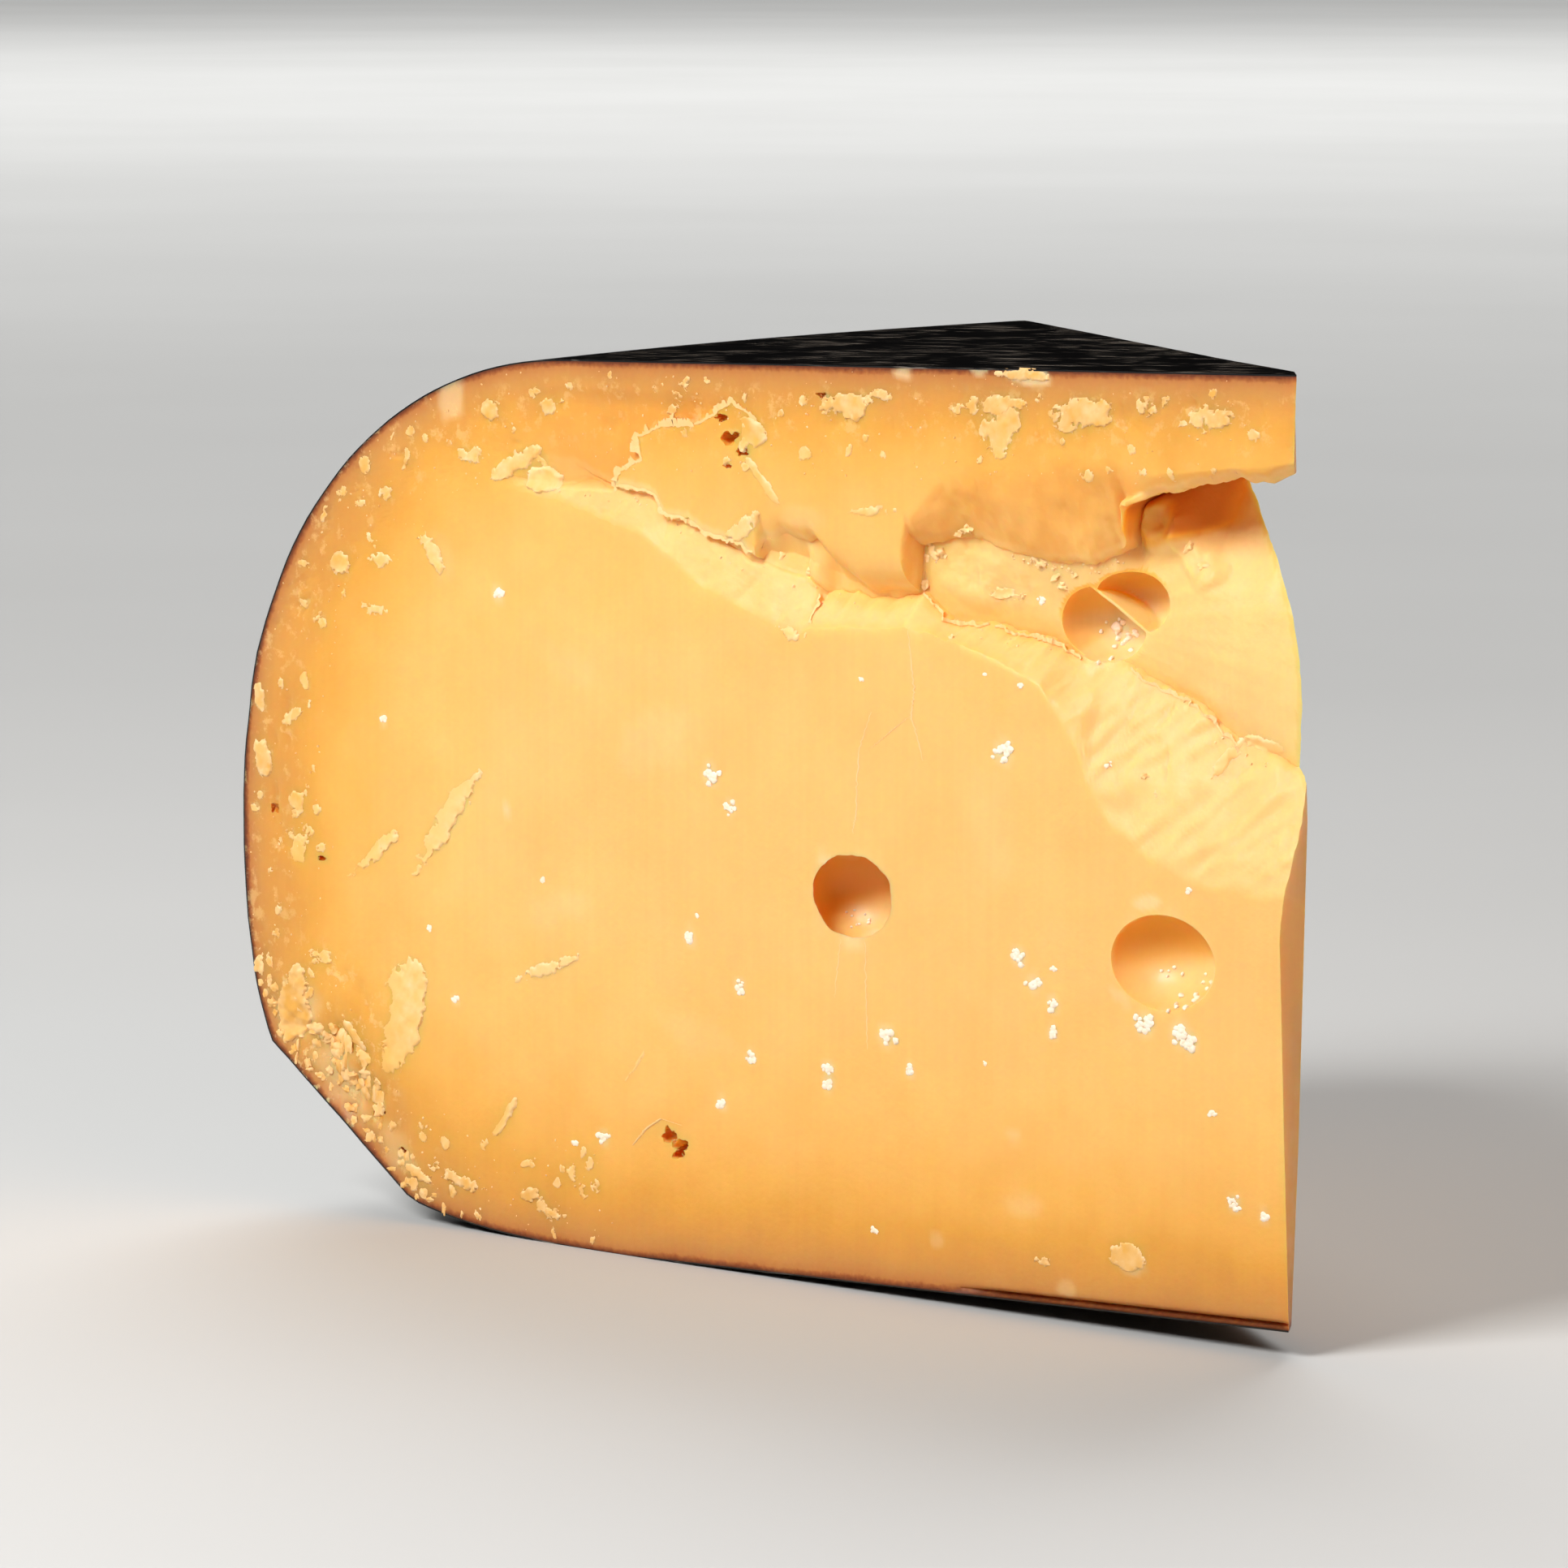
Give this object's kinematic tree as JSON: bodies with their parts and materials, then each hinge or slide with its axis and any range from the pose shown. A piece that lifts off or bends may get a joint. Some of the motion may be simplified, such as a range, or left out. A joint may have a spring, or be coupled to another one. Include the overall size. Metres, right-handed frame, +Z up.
{
  "type": "aged gouda wedge",
  "caption": "Tall wedge of hard aged gouda cut from a wheel, with a rounded rim under a thin black wax coat, gas holes and a broken upper corner; stands on its flat underside.",
  "frame": {"origin": "middle of the base of the bounding box, on the surface that the wedge stands on", "axes": "+Z up; the big cut face looks along -Y; the tip of the wedge is at +X and the round rim at -X"},
  "size_m": [0.1774, 0.1022, 0.1184],
  "materials": {
    "cheese_paste": "firm waxy cheese, yellow-orange, browner towards the rind",
    "black_wax": "glossy black wax with fine scratches"
  },
  "bodies": {
    "root": {"cheese": "cheese_paste", "wax_coat": "black_wax"}
  },
  "joints": []
}
